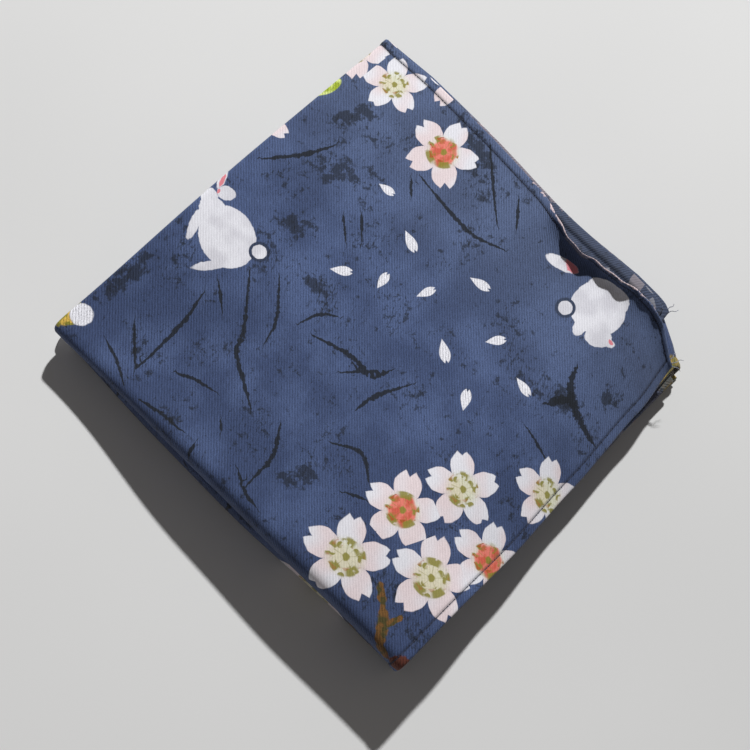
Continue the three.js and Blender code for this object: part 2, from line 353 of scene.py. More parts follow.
class FoldedCloth:
    """The points of both faces of the cloth, on a grid of its two folded lines."""

    def __init__(self):
        self.layers = folded_line(LAYER_PITCH, THIN_FOLD_REACH, 0, THIN_FOLD_STEPS, THIN_FOLD_SQUARENESS)
        self.stacks = folded_line(
            STACK_PITCH, THICK_FOLD_REACH, OUTER_LAYER, THICK_FOLD_STEPS, THICK_FOLD_SQUARENESS)
        across_layers = {name: column[None, :] for name, column in self.layers.items()}
        along_stacks = {name: column[:, None] for name, column in self.stacks.items()}
        self.hem_x = hem_distances(self.layers)[None, :]
        self.hem_y = hem_distances(self.stacks)[:, None]
        front, back = self.face_depths()
        self.front = self.face(across_layers, along_stacks, front)
        self.back = self.face(across_layers, along_stacks, back)
        self.recentre()

    def face_depths(self):
        """Offsets of both faces from the middle of the sheet, with the doubled, stitched hems."""
        nearest = np.minimum(self.hem_x, self.hem_y)
        doubled = 1 - smooth_step(*HEM_EDGE, nearest)
        raised = 1 - smooth_step(*HEM_RIDGE_EDGE, nearest)
        front = SHEET / 2 + HEM_RAISED * raised
        for distance in (self.hem_x, self.hem_y):
            front = front - STITCH_DENT * np.exp(-((distance - STITCH_LINE) / STITCH_DENT_WIDTH) ** 2)
        back = -SHEET / 2 - HEM_EXTRA * doubled
        middle = (front + back) / 2
        inside = np.clip(nearest / HEM_ROUNDING, 0, 1)
        rounding = np.sqrt(np.maximum(1 - (1 - inside) ** 2, THINNEST_EDGE))
        return middle + (front - middle) * rounding, middle + (back - middle) * rounding

    def face(self, layers, stacks, depth):
        layer_place = (layers["run"] + layers["progress"]) * PANEL
        stack_place = (stacks["run"] + stacks["progress"]) * PANEL
        looseness = LOOSENESS * np.sin(stack_place / 9 + layer_place / 23)
        looseness = looseness + FINE_LOOSENESS * np.sin(layer_place / 7 - stack_place / 31)
        across = layers["across"] + depth * layers["out_across"]
        level = layers["level"] + depth * layers["out_level"] + looseness
        x = across + edge_shift(FIRST_FOLD_EDGES, layers, stack_place)
        y = stacks["across"] + level * stacks["out_across"]
        y = y + edge_shift(SECOND_FOLD_EDGES, stacks, layer_place)
        z = PACKET_HEIGHT / 2 + stacks["level"] + level * stacks["out_level"]
        on_top = (layers["run"] == 0) & (layers["out_across"] == 0)
        on_top = on_top & (stacks["run"] == 0) & (stacks["out_across"] == 0)
        drawn_in, lifted = curl_shares(x, y)
        waver = 1 + CURL_WAVER * np.sin(x / 2.3) + CURL_FINE_WAVER * np.sin(x / 1.1 + 2)
        z = z + CURL_LIFT * waver * np.where(on_top, lifted, 0)
        further_in = 1 + CURL_FURTHER_IN * np.exp(-((x - CURL_DEEPEST_AT) / CURL_DEEPEST_SPREAD) ** 2)
        y = y - CURL_DRAWN_IN * waver * further_in * np.where(on_top, drawn_in, 0)
        return settle(x, y, np.maximum(z, 0))

    def recentre(self):
        """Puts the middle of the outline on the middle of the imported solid's."""
        both = np.concatenate([self.front.reshape(-1, 3), self.back.reshape(-1, 3)])
        middle = (both.min(axis=0) + both.max(axis=0)) / 2
        wanted = [(low + high) / 2 / MM for low, high in zip(*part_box("furoshiki_cloth"))]
        shift = np.array([wanted[0] - middle[0], wanted[1] - middle[1], -both[:, 2].min()])
        self.front = self.front + shift
        self.back = self.back + shift

    def top_layer(self):
        """1 on the top layer of the packet and 0 on the others."""
        return ((self.stacks["run"] == 0)[:, None] & (self.layers["run"] == 0)[None, :]).astype(float)

    def print_places(self):
        """Places on the printed pattern: those of the top panel are its own x and y."""
        x = HALF_PANEL - outer_lengths(self.layers, SHEET / 2)[None, :]
        y = HALF_PANEL - outer_lengths(self.stacks, OUTER_LAYER)[:, None]
        return np.broadcast_arrays(x, y)

    def at(self, from_hem, from_open_end):
        """The point and the outward direction of the front face at distances along the cloth."""
        column = np.interp(from_hem, self.layers["length"], np.arange(len(self.layers["length"])))
        row = np.interp(from_open_end, self.stacks["length"], np.arange(len(self.stacks["length"])))
        i = min(int(column), self.front.shape[1] - 2)
        j = min(int(row), self.front.shape[0] - 2)
        s = column - i
        t = row - j
        corners = self.front[j:j + 2, i:i + 2]
        near = corners[0, 0] * (1 - s) + corners[0, 1] * s
        far = corners[1, 0] * (1 - s) + corners[1, 1] * s
        outward = np.cross(corners[1, 0] - corners[0, 0], corners[0, 1] - corners[0, 0])
        outward = outward / (np.linalg.norm(outward) + 1e-9)
        return near * (1 - t) + far * t, outward


# Brush marks of the print: places on the top panel and the widest half width

BRUSH_MARKS = table("half_width places", [
    (0.34, [(-32.6, 15.5), (-26.8, 10.5)]),
    (0.32, [(-29.9, 19.8), (-23.8, 13.7)]),
    (0.50, [(-38.2, -15.2), (-28.2, -27.1), (-24.9, -33.1), (-18.4, -37.2), (-11.0, -41.4)]),
    (0.38, [(-31.7, -10.4), (-24.2, -19.1), (-21.7, -25.3)]),
    (0.30, [(-42.4, -22.6), (-34.7, -28.5)]),
    (0.45, [(-42.4, -28.0), (-40.1, -38.5), (-39.3, -55.1)]),
    (0.32, [(-49.5, -46.0), (-39.1, -55.6)]),
    (0.34, [(-50.2, -55.1), (-44.4, -57.0), (-38.1, -60.4)]),
    (0.38, [(-32.8, -60.1), (-25.7, -58.7), (-19.3, -58.4)]),
    (0.44, [(-31.2, -48.3), (-26.7, -46.2), (-20.6, -44.8)]),
    (0.36, [(-19.1, -14.8), (-17.1, -9.3), (-13.5, -6.2)]),
    (0.52, [(-14.0, -15.0), (-3.4, -11.5), (4.6, -11.3), (6.7, -6.2)]),
    (0.36, [(-1.8, -16.6), (6.4, -7.0)]),
    (0.48, [(8.2, -20.1), (9.0, -14.5), (13.3, -4.7)]),
    (0.50, [(-2.7, -38.9), (1.9, -45.9), (2.9, -56.2)]),
    (0.40, [(-1.7, -55.0), (4.1, -58.0), (8.8, -58.7)]),
    (0.36, [(-14.1, -49.1), (-11.7, -51.5)]),
    (0.34, [(-14.5, -58.0), (-12.9, -62.3)]),
    (0.42, [(10.5, -32.1), (17.5, -28.6), (24.4, -33.2)]),
    (0.36, [(21.7, -39.5), (27.0, -37.0)]),
    (0.48, [(-58.7, 10.5), (-51.8, 20.9), (-48.6, 28.6)]),
    (0.46, [(-25.8, 39.6), (-10.5, 38.4), (-3.7, 39.0), (4.1, 42.2)]),
    (0.32, [(-28.3, 37.8), (-24.0, 33.4)]),
    (0.36, [(-20.2, 60.6), (-11.1, 53.1), (-2.2, 45.9)]),
    (0.34, [(-3.3, 55.7), (2.2, 49.1)]),
    (0.34, [(43.0, 10.3), (51.9, 8.7)]),
    (1.0, [(41.2, 31.9), (42.8, 28.5), (46.0, 25.5), (52.1, 23.6), (58.3, 23.2)]),
    (1.0, [(45.0, 25.0), (42.0, 19.2)]),
])
PRINT_REPEAT = 137.0


def soft_line(places, steps=8):
    """Points of a smooth curve through the places."""
    places = [np.array(place, dtype=float) for place in places]
    ends = [2 * places[0] - places[1], *places, 2 * places[-1] - places[-2]]
    points = []
    for a, b, c, d in zip(ends, ends[1:], ends[2:], ends[3:]):
        for t in np.arange(steps) / steps:
            bent = (2 * a - 5 * b + 4 * c - d) * t ** 2 + (3 * b - 3 * c + d - a) * t ** 3
            points.append(b + 0.5 * ((c - a) * t + bent))
    points.append(places[-1])
    return np.array(points)


def repeated(place):
    """The same place in the one repeat of the print that is drawn."""
    return (place - HALF_PANEL) % PRINT_REPEAT - PRINT_REPEAT + HALF_PANEL


def brush_fields(x, y):
    """The signed distance across the nearest brush mark, in its half widths, and the plain distance to it."""
    place = np.stack([repeated(x).ravel(), repeated(y).ravel()], axis=-1)
    across = np.full(len(place), 9.0)
    beyond = np.full(len(place), 99.0)
    for mark in BRUSH_MARKS:
        line = soft_line(mark["places"])
        count = len(line) - 1
        for number in range(count):
            start = line[number]
            run = line[number + 1] - start
            length = np.hypot(*run)
            along = (place - start) @ run / length
            side = (place[:, 0] - start[0]) * run[1] / length - (place[:, 1] - start[1]) * run[0] / length
            held = np.clip(along, 0, length)
            off_end = along - held
            distance = np.hypot(side, off_end)
            share = (number + held / length) / count
            width = mark["half_width"] * (0.25 + 0.75 * np.sin(math.pi * np.clip(share * 0.92 + 0.06, 0, 1)))
            nearer = distance < beyond
            beyond = np.where(nearer, distance, beyond)
            ends_apart = np.where(off_end == 0, side, np.sign(side + 1e-6) * distance)
            across = np.where(nearer, ends_apart / width, across)
    return np.clip(across, -9, 9).reshape(x.shape), np.clip(beyond, 0, 9).reshape(x.shape)


# Mesh of the cloth


def grid_faces(first, rows, columns, turned):
    j, i = np.meshgrid(np.arange(rows - 1), np.arange(columns - 1), indexing="ij")
    corner = first + j * columns + i
    faces = np.stack([corner, corner + 1, corner + columns + 1, corner + columns], axis=-1).reshape(-1, 4)
    return faces[:, ::-1] if turned else faces


def border(rows, columns):
    """Indices round the border of a grid, once round."""
    top = list(range(columns))
    right = [j * columns + columns - 1 for j in range(1, rows)]
    bottom = [(rows - 1) * columns + i for i in range(columns - 2, -1, -1)]
    left = [j * columns for j in range(rows - 2, 0, -1)]
    return np.array(top + right + bottom + left)


# Lengths along the cloth, and where they come in the baked picture as shares of its side
BAKE_MARGIN = 0.005
BAKE_COLUMNS = ([0, 127, 252, 380, 500], [BAKE_MARGIN, 0.8, 0.84, 0.87, 0.9])
BAKE_ROWS = ([0, 134, 252, 380, 500], [BAKE_MARGIN, 0.84, 0.9, 0.95, 0.995])
BAKE_REVERSE_FROM = 0.905
BAKE_REVERSE_SCALE = 0.1


def bake_places(cloth):
    """A layout that gives the top panel most of the baked picture and the reverse a narrow strip."""
    columns = np.interp(cloth.layers["length"], *BAKE_COLUMNS)
    rows = np.interp(cloth.stacks["length"], *BAKE_ROWS)
    u, v = np.broadcast_arrays(columns[None, :], rows[:, None])
    reverse_u = BAKE_REVERSE_FROM + (u - BAKE_MARGIN) * BAKE_REVERSE_SCALE
    return np.stack([u, v], axis=-1), np.stack([reverse_u, v], axis=-1)


def build_cloth_mesh(cloth):
    rows, columns = cloth.front.shape[:2]
    count = rows * columns
    points = np.concatenate([cloth.front.reshape(-1, 3), cloth.back.reshape(-1, 3)]) * MM
    front_faces = grid_faces(0, rows, columns, turned=True)
    back_faces = grid_faces(count, rows, columns, turned=False)
    ring = border(rows, columns)
    following = np.roll(ring, -1)
    wall_faces = np.stack([ring, following, following + count, ring + count], axis=-1)
    faces = np.concatenate([front_faces, back_faces, wall_faces])
    mesh = bpy.data.meshes.new("furoshiki_folded")
    mesh.from_pydata(points.tolist(), [], faces.tolist(), shade_flat=False)
    material_index = np.zeros(len(faces), dtype=np.int32)
    material_index[len(front_faces):len(front_faces) + len(back_faces)] = 1
    mesh.polygons.foreach_set("material_index", material_index)

    print_x, print_y = cloth.print_places()
    print_uv = np.stack([print_x, print_y], axis=-1).reshape(-1, 2) * MM
    print_uv = np.concatenate([print_uv, print_uv])
    front_bake, back_bake = bake_places(cloth)
    bake_uv = np.concatenate([front_bake.reshape(-1, 2), back_bake.reshape(-1, 2)])
    flat = faces.ravel()
    for name, uv in (("print", print_uv), ("OFBake", bake_uv)):
        layer = mesh.uv_layers.new(name=name)
        layer.data.foreach_set("uv", uv[flat].ravel())

    across, beyond = brush_fields(print_x, print_y)
    nearest = np.minimum(cloth.hem_x, cloth.hem_y)
    # Darker line along the stitches: painted shade of the groove and hem step, with the stitching's darker
    # dye
    seam_dye_and_shade = np.exp(-((nearest - SEAM_SHADE_LINE) / SEAM_SHADE_WIDTH) ** 2)
    lower = 1 - cloth.top_layer() + np.zeros(across.shape)
    fields = dict(brush_across=across, brush_beyond=beyond, seam_shade=seam_dye_and_shade, lower_layer=lower)
    for name, field in fields.items():
        attribute = mesh.attributes.new(name, "FLOAT", "POINT")
        values = np.concatenate([field.ravel(), field.ravel()]).astype(np.float32)
        attribute.data.foreach_set("value", values)
    mesh.validate()
    return mesh


# Nodes, written as expressions


def operator(operation, reflected=False):
    """An operator of Value that adds one Math node."""
    def apply(value, other):
        terms = (other, value) if reflected else (value, other)
        return value.finish.maths(operation, *terms)
    return apply


class Value:
    """A socket with a number, colour or place; operators on it add Math nodes."""

    def __init__(self, finish, socket):
        self.finish = finish
        self.socket = socket

    __add__ = operator("ADD")
    __radd__ = operator("ADD", reflected=True)
    __sub__ = operator("SUBTRACT")
    __rsub__ = operator("SUBTRACT", reflected=True)
    __mul__ = operator("MULTIPLY")
    __rmul__ = operator("MULTIPLY", reflected=True)
    __truediv__ = operator("DIVIDE")
    __pow__ = operator("POWER")
    at_least = operator("MAXIMUM")
    at_most = operator("MINIMUM")
    less_than = operator("LESS_THAN")

    def __abs__(self):
        return self.finish.maths("ABSOLUTE", self)

    def sine(self):
        return self.finish.maths("SINE", self)

    def step(self, low, high):
        """Goes smoothly from 0 at low to 1 at high."""
        settings = dict(interpolation_type="SMOOTHSTEP")
        sockets = {"Value": self, "From Min": low, "From Max": high}
        return self.finish.value("Result", "ShaderNodeMapRange", settings, sockets)


def union(shapes):
    """The highest of the shapes at each place."""
    whole = None
    for shape in shapes:
        whole = shape if whole is None else whole.at_least(shape)
    return whole


class Finish:
    """A material and the one way in which its nodes are made."""

    def __init__(self, name):
        self.material = bpy.data.materials.new(name)
        self.material.use_nodes = True
        self.tree = self.material.node_tree
        self.tree.nodes.clear()
        self.output = self.node("ShaderNodeOutputMaterial")

    def node(self, kind, settings=None, sockets=None):
        """A new node: its settings first, then the values or links of its sockets."""
        made = self.tree.nodes.new(kind)
        for name, value in (settings or {}).items():
            setattr(made, name, value)
        for name, value in (sockets or {}).items():
            socket = made.inputs[name]
            if isinstance(value, Value):
                self.tree.links.new(value.socket, socket)
            else:
                socket.default_value = value
        return made

    def value(self, output, kind, settings=None, sockets=None):
        """One output of a new node."""
        return Value(self, self.node(kind, settings, sockets).outputs[output])

    def maths(self, operation, *terms):
        return self.value(0, "ShaderNodeMath", dict(operation=operation), dict(enumerate(terms)))

    def vector_maths(self, operation, sockets, output=0):
        return self.value(output, "ShaderNodeVectorMath", dict(operation=operation), sockets)

    def mix(self, start, end, share):
        """Goes from one colour to another."""
        return self.value(2, "ShaderNodeMix", dict(data_type="RGBA"), {0: share, 6: start, 7: end})

    def mix_place(self, start, end, share):
        return self.value(1, "ShaderNodeMix", dict(data_type="VECTOR"), {0: share, 4: start, 5: end})

    def noise(self, place, scale, detail=2.0, roughness=0.5, dimensions="2D"):
        sockets = {"Vector": place, "Scale": scale, "Detail": detail, "Roughness": roughness}
        return self.value(0, "ShaderNodeTexNoise", dict(noise_dimensions=dimensions), sockets)

    def field(self, name):
        return self.value("Fac", "ShaderNodeAttribute", dict(attribute_name=name))

    def local(self, place, x, y, turn, size_x, size_y, kind=0.0):
        """A place measured from a motif's middle, along its own directions and in its own sizes."""
        sockets = {
            "Vector": place,
            "Location": (x, y, -kind),
            "Rotation": (0, 0, math.radians(turn)),
            "Scale": (size_x, size_y, 1),
        }
        return self.value(0, "ShaderNodeMapping", dict(vector_type="TEXTURE"), sockets)

    def object_place(self):
        return self.value("Object", "ShaderNodeTexCoord")

    def within(self, place, form):
        """A place measured in a form: from its middle, along and across it, in its half sizes."""
        return self.local(place, form["x"], form["y"], form["turn"], form["length"], form["width"])

    def patch(self, place, form, waver, inner, outer):
        """1 inside a rounded form and 0 outside it, with an edge that wavers."""
        return 1 - (self.length(self.within(place, form)) + waver).step(inner, outer)

    def length(self, place):
        return self.vector_maths("LENGTH", {0: place}, "Value")

    def parts(self, place):
        node = self.node("ShaderNodeSeparateXYZ", None, {0: place})
        return [Value(self, output) for output in node.outputs]

    def surface(self, constants, varying):
        """The shader: constants set on its sockets, and what changes over the surface linked."""
        shader = self.node("ShaderNodeBsdfPrincipled", None, {**constants, **varying})
        self.tree.links.new(shader.outputs[0], self.output.inputs["Surface"])


# Print of the cloth: places and sizes in millimetres on the top panel

OLIVE = 1.0
CORAL = 2.0
BLOSSOMS = table("x y radius turn centre", [
    (-50.7, 53.6, 9.2, 125, OLIVE),
    (-27.3, 49.5, 10.2, 101, CORAL),
    (33.6, -51.7, 11.6, 121, OLIVE),
    (35.1, -31.8, 10.4, 121, CORAL),
    (41.9, -15.5, 10.4, 134, OLIVE),
    (52.2, -39.0, 11.4, 123, OLIVE),
    (58.9, -23.2, 10.4, 118, CORAL),
    (58.6, 2.5, 10.2, 125, OLIVE),
    (-66.0, 54.0, 9.4, 100, OLIVE),
    (-39.5, 66.0, 7.5, 60, OLIVE),
    (-66.5, 19.5, 7.0, 80, OLIVE),
])
PETALS = 5
# A blossom's number and centre travel as a small third coordinate of its place
CODE_OF_CENTRE = 20
CODE_SCALE = 10000
FAR_OFF = 900

# A form has its middle, its turn in degrees, and half its length and width
FORM = "x y turn length width"
NAMED_FORM = "form x y turn length width"

RABBIT_TURN = 45
SITTING_RABBIT = dict(x=-49.9, y=-12.4, forms=table(NAMED_FORM, [
    ("haunch", 0.4, -0.6, 109, 8.9, 7.5),
    ("chest", -2.8, 4.6, 111, 6.4, 4.0),
    ("neck", -4.4, 10.3, 100, 2.9, 2.3),
    ("foreleg", -8.3, 2.6, 69, 4.5, 1.3),
    ("foot", -4.4, -8.8, 8, 4.4, 1.25),
    ("head", 0.2, 11.7, -10, 2.5, 2.05),
    ("ear", -0.9, 15.9, 68, 3.1, 1.05),
]), reds=table(NAMED_FORM, [
    ("inner ear", -0.8, 15.4, 68, 2.3, 0.55),
    ("second ear", -1.9, 12.1, 60, 0.8, 0.4),
]), tail=(8.9, -4.3))
LEAPING_RABBIT = dict(x=34.2, y=48.4, forms=table(NAMED_FORM, [
    ("body", 0, 0, -20, 8.0, 7.2),
    ("shoulder", 4.2, 1.8, 20, 5.2, 4.5),
    ("head", -0.2, -7.8, -8, 3.9, 2.7),
    ("cheek", 2.7, -9.2, -30, 2.0, 1.1),
    ("back", 3.0, 4.9, -29, 6.2, 3.7),
    ("side", -3.2, 3.4, 50, 5.2, 3.2),
    ("paw", -5.2, -4.7, 60, 2.9, 1.8),
    ("ear", -9.5, 13.3, -29, 5.0, 1.9),
]), reds=table(NAMED_FORM, [
    ("inner ear", -6.3, 12.3, -50, 3.0, 2.0),
    ("nose", 3.4, -9.1, -50, 0.9, 0.55),
]), tail=(-9.1, 0.6))
TAIL_RADIUS = 2.0
TAIL_RING = 2.85

SCATTERED_PETALS = table(FORM, [
    (-22.0, 4.0, 40, 3.4, 1.7),
    (-12.5, 10.5, 100, 3.0, 1.6),
    (-15.0, 24.0, -20, 3.6, 1.8),
    (-2.0, 17.0, 70, 3.2, 1.5),
    (6.5, 30.0, 15, 3.5, 1.7),
    (13.0, 8.5, -35, 3.7, 1.9),
    (20.5, 21.5, 55, 3.2, 1.6),
    (26.0, 3.0, 120, 3.4, 1.8),
    (34.5, 17.5, -10, 3.3, 1.6),
    (-30.0, 30.0, 10, 2.8, 1.5),
])

TWIGS = table(FORM, [
    (46.4, -52.0, -36, 3.8, 1.2),
    (52.0, -57.8, -53, 5.6, 1.65),
    (56.5, -62.7, -27, 3.0, 1.6),
    (53.2, -54.6, -100, 3.2, 0.85),
])
BLOTCHES = table(FORM, [
    (-59.5, -38, 88, 15, 4),
    (-39.3, 4.2, 40, 8, 5),
    (-41.8, 23.8, 35, 13, 6),
    (10.1, -46, 60, 7, 4),
    (45.3, 24.5, 10, 6, 4),
    (-25.5, -4.9, 10, 6, 3),
    (-22.0, 57.0, -20, 12, 6),
    (54.1, 34.8, 45, 6, 3),
    (-50.5, 40.0, 60, 9, 5),
])

HEM_PETAL, BERRY, LEAF, BUD, HUSK, GOLD_ENDS, GREY_ENDS = table(FORM, [
    (22, 62.6, 0, 24, 1.25),
    (61.2, -61.6, 30, 4.0, 2.7),
    (-62.6, 39.6, 78, 4.6, 2.4),
    (-59.6, -54.9, 30, 3.4, 3.3),
    (-62.2, -57.4, 64, 6.0, 3.1),
    (61, 53.5, 90, 6.0, 5.0),
    (62, 44.5, 90, 4.5, 5.0),
])

NAVY = (0.043, 0.067, 0.150, 1)
NAVY_LIGHT = (0.074, 0.112, 0.235, 1)
# Colour of the painted sheen towards the open side of the top panel
NAVY_PAINTED_SHEEN = (0.115, 0.145, 0.205, 1)
FLOOR_GREY = (0.65, 0.66, 0.66, 1)
FLOOR_PALE = (0.72, 0.73, 0.73, 1)
CHARCOAL = (0.010, 0.013, 0.018, 1)
PETAL_WHITE = (0.76, 0.77, 0.83, 1)
PETAL_BLUSH = (0.76, 0.62, 0.63, 1)
OLIVE_PAINT = (0.25, 0.23, 0.030, 1)
PETAL_CREASE = (0.50, 0.42, 0.46, 1)
RUST = (0.40, 0.10, 0.02, 1)
FUR_SHADE = (0.56, 0.56, 0.62, 1)
PALE_YELLOW = (0.63, 0.65, 0.30, 1)
CORAL_PAINT = (0.78, 0.17, 0.13, 1)
CORAL_DEEP = (0.60, 0.07, 0.035, 1)
TWIG_PAINT = (0.165, 0.080, 0.022, 1)
BARK_SHADE = (0.050, 0.052, 0.016, 1)
LEAF_PAINT = (0.33, 0.42, 0.03, 1)
LEAF_PALE = (0.62, 0.72, 0.25, 1)
BERRY_PAINT = (0.12, 0.035, 0.022, 1)
HUSK_GOLD = (0.62, 0.42, 0.08, 1)
EAR_PINK = (0.70, 0.20, 0.24, 1)
WORN_GREY = (0.12, 0.11, 0.16, 1)
WORN_GOLD = (0.42, 0.30, 0.07, 1)
WORN_OLIVE = (0.20, 0.19, 0.05, 1)
REVERSE_PALE = (0.055, 0.068, 0.105, 1)
HEM_THREAD = ((0.012, 0.014, 0.026, 1), (0.04, 0.05, 0.09, 1))
LOOSE_YARN = ((0.10, 0.11, 0.17, 1), (0.38, 0.40, 0.46, 1))

WALE_PITCH = 0.72
GRAIN_OF_WALES = 0.17
GRAIN_OF_YARNS = 1.3
GRAIN_OF_THREADS = 0.55
RELIEF_DEPTH = 0.00012
COTTON = {"Specular IOR Level": 0.28, "Sheen Weight": 0.12, "Sheen Roughness": 0.45}


def print_place(finish):
    """Places in millimetres: in the one repeat of the print that is drawn, and on the whole cloth."""
    uv = finish.value(0, "ShaderNodeUVMap", dict(uv_map="print"))
    scaled = finish.vector_maths("SCALE", {0: uv, "Scale": 1 / MM})
    high = HALF_PANEL
    low = HALF_PANEL - PRINT_REPEAT
    wrapped = finish.vector_maths("WRAP", {0: scaled, 1: (high, high, 1.0), 2: (low, low, -1.0)})
    return wrapped, scaled


def paint_blossoms(finish, place, colour):
    """The nearest blossom is picked at each place, and one blossom is drawn there."""
    nearest = finish.local(place, FAR_OFF, FAR_OFF, 0, 1, 1)
    best = 50.0
    for number, blossom in enumerate(BLOSSOMS):
        kind = (blossom["centre"] * CODE_OF_CENTRE + number) / CODE_SCALE
        radius = blossom["radius"]
        own = finish.local(place, blossom["x"], blossom["y"], blossom["turn"], radius, radius, kind)
        far = finish.length(own)
        nearer = far.less_than(best)
        nearest = finish.mix_place(nearest, own, nearer)
        best = far.at_most(best)
    x, y, code = finish.parts(nearest)
    code = code * CODE_SCALE
    coral = code.step(CORAL * CODE_OF_CENTRE - 5, CORAL * CODE_OF_CENTRE - 4)
    across = finish.maths("ARCTAN2", y, x)
    half = math.pi / PETALS
    petal = finish.maths("WRAP", across, half, -half)
    number = finish.maths("ROUND", across / (2 * half))
    number = finish.maths("WRAP", number, 2.5, -2.5)
    seed = {"W": number * 7.3 + code}
    mood = finish.value("Value", "ShaderNodeTexWhiteNoise", dict(noise_dimensions="1D"), seed)
    side = abs(petal / half)
    wobble = finish.noise(nearest, 3.2, 1.0)
    notch = (1 - side / 0.20).at_least(0) * (0.19 + 0.08 * mood)
    reach = 1.05 + 0.12 * mood - 0.46 * side - 0.15 * side ** 5.0 - notch + 0.10 * (wobble - 0.5)
    petals = (reach - best).step(-0.012, 0.028)
    blush = (finish.noise(nearest, 1.4, 0.0) + 0.45 * mood - 0.35 * best).step(0.25, 0.75)
    paint = finish.mix(PETAL_WHITE, PETAL_BLUSH, blush * 0.75)
    creases = (side.step(0.72, 1.0) * (1 - best.step(0.35, 0.75))) * 0.3
    paint = finish.mix(paint, PETAL_CREASE, creases)
    glow = 1 - best.step(0.22, 0.55)
    paint = finish.mix(paint, PALE_YELLOW, glow * 0.5)
    coral_patch = (0.36 + 0.24 * (wobble - 0.5) - best).step(-0.06, 0.04) * coral
    deep = finish.mix(CORAL_PAINT, CORAL_DEEP, finish.noise(nearest, 4.0, 1.0).step(0.45, 0.62))
    paint = finish.mix(paint, deep, coral_patch * 0.92)
    speck = finish.noise(nearest, 5.5, 1.5, 0.6)
    settings = dict(voronoi_dimensions="2D", feature="F1")
    sockets = {"Vector": nearest, "Scale": 3.7, "Randomness": 1.0}
    cells = finish.value("Distance", "ShaderNodeTexVoronoi", settings, sockets)
    blobs = (1 - cells.step(0.27, 0.33)) * wobble.step(0.40, 0.50)
    field = (1 - best.step(0.42, 0.48)) * best.step(0.20, 0.26)
    ring = 1 - abs(best - 0.35 - 0.12 * (mood - 0.5)).step(0.07, 0.11)
    arcs = ring * (1 - side.step(0.45, 0.9)) * (speck * 0.4 + wobble * 0.5 + 0.2 * mood).step(0.48, 0.55)
    dot = 1 - (best + 0.1 * (speck - 0.5)).step(0.07, 0.11)
    threads = (1 - abs(petal + 0.15 * (mood - 0.5)).step(0.03, 0.07)) * (1 - best.step(0.3, 0.34))
    olive = (blobs * field * (1 - coral * 0.6)).at_least(arcs).at_least(dot)
    paint = finish.mix(paint, OLIVE_PAINT, (olive + threads * 0.45).at_most(1) * 0.92)
    rust = (speck * field).step(0.58, 0.64) * (0.4 + 0.5 * coral)
    paint = finish.mix(paint, RUST, rust)
    return finish.mix(colour, paint, petals), petals


def paint_rabbits(finish, place, colour):
    """Two white rabbits, each drawn from plain rounded forms, with a ring of bare cloth round the tail."""
    wobble = finish.noise(place, 0.9, 1.0) - 0.5
    fur = finish.mix(PETAL_WHITE, FUR_SHADE, finish.noise(place, 0.16, 1.0).step(0.35, 0.7) * 0.6)
    shapes = []
    for rabbit in (SITTING_RABBIT, LEAPING_RABBIT):
        own = finish.local(place, rabbit["x"], rabbit["y"], RABBIT_TURN, 1, 1)
        outline = None
        for form in rabbit["forms"]:
            distance = (finish.length(finish.within(own, form)) - 1) * form["width"]
            outline = distance if outline is None else outline.at_most(distance)
        body = 1 - (outline + wobble * 0.35).step(-0.12, 0.14)
        tail = finish.length(finish.local(own, *rabbit["tail"], 0, 1, 1))
        ring = tail.step(TAIL_RING - 0.1, TAIL_RING + 0.1)
        outlined = ring * (1 - tail.step(TAIL_RING, TAIL_RING + 0.5))
        colour = finish.mix(colour, CHARCOAL, (1 - ring) * 0.6 + outlined * 0.2)
        ball = 1 - (tail + wobble * 0.3).step(TAIL_RADIUS - 0.1, TAIL_RADIUS + 0.12)
        shape = (body * ring).at_least(ball)
        colour = finish.mix(colour, fur, shape)
        shapes.append(shape)
        for form in rabbit["reds"]:
            red = finish.patch(own, form, wobble * 0.6, 0.8, 1.1)
            colour = finish.mix(colour, EAR_PINK, red * shape * 0.95)
    return colour, union(shapes)


def loose_petal(finish, place, form):
    """A petal, pointed at one end and notched at the other."""
    along, across, _ = finish.parts(finish.within(place, form))
    along = along.at_least(-1.5)
    side = abs(across)
    width = (1 - along * along) * (0.80 + 0.35 * along)
    notched_tip = 0.66 + side * 1.1 - along
    return (width - side).at_most(notched_tip).step(-0.04, 0.10)


def paint_small_forms(finish, place, colour):
    """Loose petals, the bud and the leaf at the folds, and the twigs below the blossoms."""
    petals = union(loose_petal(finish, place, form) for form in SCATTERED_PETALS)
    colour = finish.mix(colour, PETAL_WHITE, petals)
    torn = (finish.noise(place, 0.7, 1.0) - 0.5) * 1.2
    colour = finish.mix(colour, PETAL_BLUSH, finish.patch(place, HEM_PETAL, torn, 0.8, 1.1) * 0.85)
    wobble = finish.noise(place, 0.5, 1.0) - 0.5
    twig = union(finish.patch(place, form, wobble * 0.8, 0.8, 1.1) for form in TWIGS)
    bark = finish.mix(TWIG_PAINT, BARK_SHADE, finish.noise(place, 0.5, 1.0).step(0.42, 0.62) * 0.85)
    colour = finish.mix(colour, bark, twig)
    colour = finish.mix(colour, BERRY_PAINT, finish.patch(place, BERRY, wobble, 0.7, 1.0))
    green = finish.mix(LEAF_PAINT, LEAF_PALE, finish.noise(place, 0.4, 0.0).step(0.4, 0.7))
    colour = finish.mix(colour, green, finish.patch(place, LEAF, 0, 0.86, 1.0))
    bud = finish.patch(place, BUD, wobble * 0.2, 0.85, 1.0)
    colour = finish.mix(colour, PETAL_WHITE, bud)
    husk = finish.patch(place, HUSK, wobble * 0.7, 0.85, 1.05)
    gold = finish.mix(HUSK_GOLD, OLIVE_PAINT, finish.noise(place, 0.6, 1.0).step(0.45, 0.6))
    return finish.mix(colour, gold, husk * (1 - bud))


